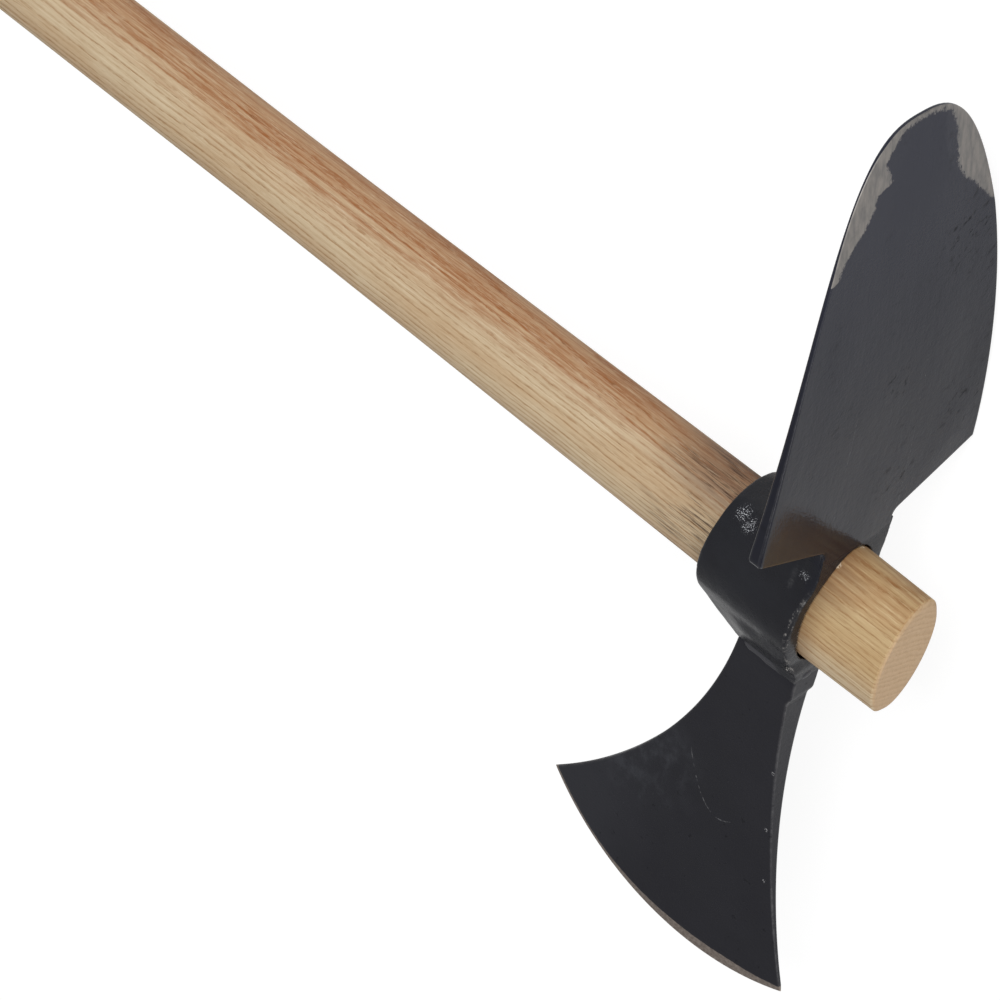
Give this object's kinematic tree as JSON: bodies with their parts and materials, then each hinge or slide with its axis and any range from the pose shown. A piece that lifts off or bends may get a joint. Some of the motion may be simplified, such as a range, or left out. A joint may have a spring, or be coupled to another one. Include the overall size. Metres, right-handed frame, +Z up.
{
  "type": "mattock",
  "caption": "Planting mattock with a broad tongue-shaped hoe and a flared axe blade on a forged oval eye, wedged on the swelled end of a straight wooden handle.",
  "frame": {"origin": "centre of the handle's flat butt end", "axes": "+X along the handle from the butt end to the head, +Y towards the hoe's tip, +Z up with the tool lying on its side"},
  "size_m": [0.9511, 0.3905, 0.1176],
  "materials": {
    "ash_wood": "bare sanded ash with brown lengthwise grain",
    "black_lacquer": "satin black lacquer over forged steel, ground bare beside the edges",
    "weld_metal": "rough weld bead under black lacquer"
  },
  "bodies": {
    "handle": {"handle": "ash_wood"},
    "head": {"eye_socket": "black_lacquer", "hoe_blade": "black_lacquer", "axe_blade": "black_lacquer", "hoe_weld": "weld_metal", "axe_weld": "weld_metal"}
  },
  "joints": [
    {"name": "head_slide", "type": "slide", "parent": "handle", "child": "head", "axis": [-1, 0, 0], "range_m": [0, 0.925]}
  ]
}
